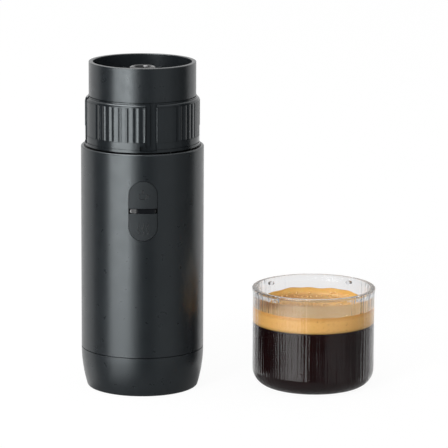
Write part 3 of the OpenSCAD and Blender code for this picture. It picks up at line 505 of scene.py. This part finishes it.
def makeBubbles(look, foam):
    material, tree, shader, place = startMaterial("bubble_film")
    cloud = spread(tree, noiseAt(tree, place, look["cloudSize"]), 0, 1)
    tree.links.new(mixColours(tree, cloud, *look["filmColours"]), shader.inputs["Base Color"])
    setSockets(shader, look["sockets"])
    values = {"Density": look["density"], "Rarity": look["rarity"], "Seed": look["seed"],
              "Smallest": look["smallest"] * mm, "Largest": look["largest"] * mm,
              "Inner radius": look["innerRadius"] * mm, "Outer radius": look["outerRadius"] * mm,
              "Lowest": look["lowZ"] * mm}
    mesh = growMesh("foam_bubbles", makeBubbleTree(), values, material, foam.data.copy())
    placePiece("foam_bubbles", mesh, "drinking_cup")


makeBubbles(bubbleLook, crema)
print("bubbles made")


# Screw threads: low ridges inside the solids' running gaps, right-handed, each on its own body

threads = {
    "neck_thread": dict(body="main_body", slot="inner_black", wall=31.1, sink=0.12, low=14.0, pitch=4.0,
                        turns=1.9, start=0),
    "lid_thread": dict(body="lid", slot="satin_anthracite", wall=31.4, sink=-0.12, low=13.6, pitch=4.0,
                       turns=1.9, start=144),
    "spigot_thread": dict(body="main_body", slot="inner_black", wall=27.2, sink=0.12, low=142.2, pitch=6.0,
                          turns=1.25, start=0),
    "ring_thread": dict(body="brew_head", slot="ring_anthracite", wall=27.5, sink=-0.12, low=142.2,
                        pitch=6.0, turns=1.25, start=180),
}
# ridge is half its thickness; it thins to tip over the runOut part of its length at each end
ridgeLook = dict(ridge=0.35, tip=0.05, runOut=0.08, pointsPerTurn=72)


def makeThreadTree(look):
    tree, given, inputs = startTree("screwThread", ("Radius", "Height", "Turns", "Ridge", "Low", "Start"))
    spiral = addNode(tree, "GeometryNodeCurveSpiral", Resolution=look["pointsPerTurn"], Reverse=True)
    for label, name in (("Turns", "Rotations"), ("Radius", "Start Radius"), ("Radius", "End Radius"),
                        ("Height", "Height")):
        tree.links.new(given.outputs[label], spiral.inputs[name])
    along = tree.nodes.new("GeometryNodeSplineParameter").outputs["Factor"]
    ends = [spread(tree, along, look["tip"], 1.0, start, end)
            for start, end in ((0.0, look["runOut"]), (1.0, 1 - look["runOut"]))]
    thin = calculate(tree, "MINIMUM", *ends)
    sweep = sweepAlong(tree, spiral.outputs["Curve"], given.outputs["Ridge"], thin)
    move = tree.nodes.new("GeometryNodeTransform")
    tree.links.new(sweep, move.inputs["Geometry"])
    for label, name in (("Low", "Translation"), ("Start", "Rotation")):
        upright = tree.nodes.new("ShaderNodeCombineXYZ")
        tree.links.new(given.outputs[label], upright.inputs["Z"])
        tree.links.new(upright.outputs["Vector"], move.inputs[name])
    endTree(tree, given, move.outputs["Geometry"])
    return tree, inputs


def makeThreads(shared):
    grower = makeThreadTree(shared)
    for name, look in threads.items():
        values = {"Radius": (look["wall"] - look["sink"]) * mm, "Ridge": shared["ridge"] * mm,
                  "Height": look["pitch"] * look["turns"] * mm, "Turns": look["turns"],
                  "Low": look["low"] * mm, "Start": math.radians(look["start"])}
        mesh = growMesh(name, grower, values, finishes[look["slot"]])
        placePiece(name, mesh, look["body"])


makeThreads(ridgeLook)
print("threads made")


# Moulded lines

def lineMesh(name, lines):
    # a mesh of open lines from points in millimetres
    verts, edges = [], []
    for line in lines:
        edges += [(len(verts) + i, len(verts) + i + 1) for i in range(len(line) - 1)]
        verts += [(x * mm, y * mm, z * mm) for x, y, z in line]
    mesh = bpy.data.meshes.new(name)
    mesh.from_pydata(verts, edges, [])
    return mesh


def makeLineTree():
    tree, given, inputs = startTree("mouldedLine", ("Line",))
    path = tree.nodes.new("GeometryNodeMeshToCurve")
    tree.links.new(given.outputs["Geometry"], path.inputs["Mesh"])
    endTree(tree, given, sweepAlong(tree, path.outputs["Curve"], given.outputs["Line"]))
    return tree, inputs


lineTree = makeLineTree()

# plain function symbols on the two keys, 0.1 mm proud: line is half its thickness, sink how deep its
# middle lies, and the waves of heat swing that far to each side
symbols = dict(faceRadius=34.9, line=0.22, sink=0.12, scale=1.2, brewZ=116.8, heatZ=98.0,
               waveSpots=(-2.1, 0, 2.1), waveHeight=5.2, waveSwing=0.45, waveSteps=18, stepsPerSwing=12)


def wrapOnKey(points, z, look):
    # lays (across, up) points on the curved front of the keys
    r, size = look["faceRadius"] - look["sink"], look["scale"]
    return [(r * math.sin(u * size / r), -r * math.cos(u * size / r), z + v * size) for u, v in points]


def makeSymbols(look):
    side = [(-1.9, 0.9), (-1.75, -0.6)] + arc(-0.85, -0.7, 0.9, 180, 270, 6) + [(0.85, -1.6)]
    side += arc(0.85, -0.7, 0.9, 270, 360, 6) + [(1.9, 0.9), (-1.9, 0.9)]
    handle = [(1.85, 0.5)] + arc(2.1, -0.1, 0.6, 70, -90, 8) + [(1.75, -0.7)]
    drop = [(0, 2.9)] + arc(0, 1.75, 0.45, 40, -220, 12) + [(0, 2.9)]
    height, steps = look["waveHeight"], look["waveSteps"]
    waves = [[(x + look["waveSwing"] * math.sin(2 * math.pi * t / look["stepsPerSwing"]),
               -height / 2 + height * t / steps) for t in range(steps + 1)] for x in look["waveSpots"]]
    for name, lines, z, body in (("brew_symbol", [side, handle, drop], look["brewZ"], "brew_key"),
                                 ("heat_symbol", waves, look["heatZ"], "heat_key")):
        seed = lineMesh(name + "_lines", [wrapOnKey(line, z, look) for line in lines])
        mesh = growMesh(name, lineTree, {"Line": look["line"] * mm}, finishes["light_window"], seed)
        placePiece(name, mesh, body)


makeSymbols(symbols)
print("symbols made")


# the rounded upright edges of the ring's slots; firstSlot is a slot's middle, and beside is how far its
# edges are from that, both in degrees
slotEdges = dict(line=0.45, sink=0.2, ringRadius=32.45, slots=4, firstSlot=-81.8, beside=6.1,
                 leftLow=151.2, rightLow=146.6, high=166.1)


def makeSlotEdges(look):
    r = look["ringRadius"] - look["sink"]
    lines = []
    for i in range(look["slots"]):
        for side, low in ((-1, look["leftLow"]), (1, look["rightLow"])):
            turn = math.radians(look["firstSlot"] + 360 / look["slots"] * i + side * look["beside"])
            lines.append([(r * math.cos(turn), r * math.sin(turn), z) for z in (low, look["high"])])
    seed = lineMesh("slot_edge_lines", lines)
    mesh = growMesh("slot_edges", lineTree, {"Line": look["line"] * mm}, finishes["ring_anthracite"], seed)
    placePiece("slot_edges", mesh, "brew_head")


makeSlotEdges(slotEdges)
print("slot edges made")


# Floor, light and camera, in metres and degrees

def startStudioMaterial(name):
    # a material with nothing but its output
    material = bpy.data.materials.new(name)
    material.use_nodes = True
    tree = material.node_tree
    tree.nodes.remove(tree.nodes["Principled BSDF"])
    return material, tree, tree.nodes["Material Output"].inputs["Surface"]


def grey(value):
    return (value, value, value, 1)


def throughRays(tree):
    # 1 for what the camera sees directly, in a gloss or through glass
    path = tree.nodes.new("ShaderNodeLightPath")
    total = path.outputs["Is Camera Ray"]
    for name in ("Is Glossy Ray", "Is Transmission Ray"):
        total = calculate(tree, "MAXIMUM", total, path.outputs[name])
    return total


# the floor and the world show the camera one brightness and light the object with another
studio = dict(floorSide=12.0, floorGlow=0.935, floorColour=0.12, bounceColour=0.8, worldFill=0.45,
              worldSeen=1.0)


def makeFloor(look):
    material, tree, surface = startStudioMaterial("pale_floor")
    plain = addNode(tree, "ShaderNodeBsdfDiffuse", Color=grey(look["bounceColour"]))
    shaded = addNode(tree, "ShaderNodeBsdfDiffuse", Color=grey(look["floorColour"]))
    glow = addNode(tree, "ShaderNodeEmission", Strength=look["floorGlow"])
    seen = tree.nodes.new("ShaderNodeAddShader")
    tree.links.new(shaded.outputs[0], seen.inputs[0])
    tree.links.new(glow.outputs[0], seen.inputs[1])
    tree.links.new(mixShaders(tree, throughRays(tree), plain.outputs[0], seen.outputs[0]), surface)
    mesh = bpy.data.meshes.new("floor")
    s = look["floorSide"] / 2
    mesh.from_pydata([(-s, -s, 0), (s, -s, 0), (s, s, 0), (-s, s, 0)], [], [(0, 1, 2, 3)])
    mesh.materials.append(material)
    floor = bpy.data.objects.new("floor", mesh)
    scene.collection.objects.link(floor)
    floor.visible_glossy = False  # a polished table: gloss shows the studio mirrored below it


def makeWorld(look):
    world = bpy.data.worlds.new("studio")
    scene.world = world
    world.use_nodes = True
    tree = world.node_tree
    fill = tree.nodes["Background"]
    setSockets(fill, {"Color": grey(1), "Strength": look["worldFill"]})
    seen = addNode(tree, "ShaderNodeBackground", Color=grey(1), Strength=look["worldSeen"])
    both = mixShaders(tree, throughRays(tree), fill.outputs[0], seen.outputs[0])
    tree.links.new(both, tree.nodes["World Output"].inputs["Surface"])


lamps = {
    "keySoftbox": dict(side=-37.5, distance=2.5, low=0.0, width=2.5, tall=2.0, radiance=6.0),
    "fillSoftbox": dict(side=60, distance=2.6, low=0.6, width=1.8, tall=1.8, radiance=0.8),
}


def roundTheObject(side, distance, height):
    # side is in degrees from the camera's side of the object, towards the right
    turn = math.radians(side)
    return (distance * math.sin(turn), -distance * math.cos(turn), height)


def makeLamps():
    # upright softboxes that face the object
    for name, look in lamps.items():
        data = bpy.data.lights.new(name, "AREA")
        data.shape = "RECTANGLE"
        data.size, data.size_y = look["width"], look["tall"]
        data.energy = look["radiance"] * math.pi * look["width"] * look["tall"]
        lamp = bpy.data.objects.new(name, data)
        lamp.location = roundTheObject(look["side"], look["distance"], look["low"] + look["tall"] / 2)
        lamp.rotation_euler = (math.pi / 2, 0, -math.radians(look["side"]))
        lamp.visible_camera = False
        scene.collection.objects.link(lamp)


# What the glosses see: dark papers round the object, and the softbox in the polished table below it.
# Each has a brightness at eye level (near) and lower down, where the table fades it (deep).
papers = {
    "softboxInTable": dict(sides=(-62.5, -23), distance=2.5, low=-2.6, high=0.0, near=10.0, deep=2.2),
    "softboxSeam": dict(sides=(-23, -21.8), distance=2.5, low=-2.6, high=0.0, near=13.0, deep=2.6),
    "softboxGap": dict(sides=(-21.8, -14.2), distance=2.5, low=-2.6, high=0.0, near=3.0, deep=0.3),
    "softboxRim": dict(sides=(-14.2, -13.2), distance=2.5, low=-2.6, high=0.0, near=7.0, deep=2.2),
    "softboxEdge": dict(sides=(-64, -62.7), distance=2.5, low=-2.6, high=0.0, near=8.0, deep=2.2),
    "leftPaper": dict(sides=(-104, -66), distance=1.6, low=-2.0, high=1.4, near=0.05, deep=0.3),
    "darkPaper": dict(sides=(-10, 22), distance=1.6, low=-2.0, high=1.4, near=0.08, deep=0.08),
    "greyPaper": dict(sides=(22, 64), distance=1.6, low=-2.0, high=1.4, near=0.45, deep=0.45),
    "rightPaper": dict(sides=(64, 86), distance=1.6, low=-2.0, high=1.4, near=0.22, deep=0.22),
    "edgePaper": dict(sides=(86, 112), distance=1.6, low=-2.0, high=1.4, near=0.0, deep=0.35),
}
paperSteps = 24  # flats along a curved paper
fadeDown = (0.15, 0.208)  # slopes below eye level at which the fade starts and ends
# the round dark sheet under maker and cup, a painted shade of the floor round their feet that only glosses
# see, and the bright paper over their rims
footShade = dict(x=0.05, reach=0.19, z=-0.06, distance=1.0, near=0.3, deep=0.3)
topPaper = dict(x=(-1.35, -0.18), y=(-1.05, 0.3), z=1.5, distance=1.0, near=12.0, deep=12.0)


def makePaperFinish(look):
    material, tree, surface = startStudioMaterial("studio_paper")
    place = tree.nodes.new("ShaderNodeTexCoord").outputs["Object"]
    parts = tree.nodes.new("ShaderNodeSeparateXYZ")
    tree.links.new(place, parts.inputs["Vector"])
    start, end = (-slope * look["distance"] for slope in fadeDown)
    strength = spread(tree, parts.outputs["Z"], look["near"], look["deep"], start, end)
    strength.node.interpolation_type = "SMOOTHSTEP"
    glow = addNode(tree, "ShaderNodeEmission", Color=grey(1))
    tree.links.new(strength, glow.inputs["Strength"])
    tree.links.new(glow.outputs[0], surface)
    return material


def standPaper(name, points, faces, look):
    # only glosses see it
    mesh = bpy.data.meshes.new(name)
    mesh.from_pydata(points, [], faces)
    mesh.materials.append(makePaperFinish(look))
    paper = bpy.data.objects.new(name, mesh)
    scene.collection.objects.link(paper)
    paper.visible_camera = paper.visible_diffuse = paper.visible_shadow = paper.visible_transmission = False


def makePapers():
    for name, look in papers.items():
        first, last = look["sides"]
        sides = [first + (last - first) * i / paperSteps for i in range(paperSteps + 1)]
        points = [roundTheObject(s, look["distance"], look[rim]) for rim in ("low", "high") for s in sides]
        count = len(sides)
        faces = [(i, i + 1, count + i + 1, count + i) for i in range(paperSteps)]
        standPaper(name, points, faces, look)
    # a dark disc below the floor: painted shade of the floor near the feet, seen only in glosses
    x, reach, z = (footShade[k] for k in ("x", "reach", "z"))
    turns = [math.radians(d) for d in range(0, 360, 10)]
    points = [(x + reach * math.cos(a), reach * math.sin(a), z) for a in turns]
    standPaper("footShade", points, [tuple(range(len(points)))], footShade)
    (left, right), (front, back), z = (topPaper[k] for k in ("x", "y", "z"))
    corners = [(left, front, z), (right, front, z), (right, back, z), (left, back, z)]
    standPaper("topPaper", corners, [(0, 1, 2, 3)], topPaper)


# pixels is the focal length in pixels of a frame that wide; pitch, turn and roll are in radians
lens = dict(pixels=3181.2, frame=448, sensor=36, spot=(-0.01565, -1.7840, 0.4537), pitch=0.199,
            turn=math.radians(2), roll=0.0051)


def makeCamera(look):
    data = bpy.data.cameras.new("camera")
    data.sensor_width = look["sensor"]
    data.lens = look["pixels"] / look["frame"] * data.sensor_width
    camera = bpy.data.objects.new("camera", data)
    down, turn, roll = look["pitch"], look["turn"], look["roll"]
    ahead = Vector((math.sin(turn) * math.cos(down), math.cos(turn) * math.cos(down), -math.sin(down)))
    right = Vector((math.cos(turn), -math.sin(turn), 0))
    up = right.cross(ahead)
    tiltedRight = math.cos(roll) * right + math.sin(roll) * up
    tiltedUp = math.cos(roll) * up - math.sin(roll) * right
    turned = Matrix((tiltedRight, tiltedUp, -ahead)).transposed().to_4x4()
    camera.matrix_world = Matrix.Translation(look["spot"]) @ turned
    scene.collection.objects.link(camera)
    scene.camera = camera


makeFloor(studio)
makeWorld(studio)
makeLamps()
makePapers()
makeCamera(lens)
scene.view_settings.view_transform = "Standard"
print("floor, lamps and camera set")
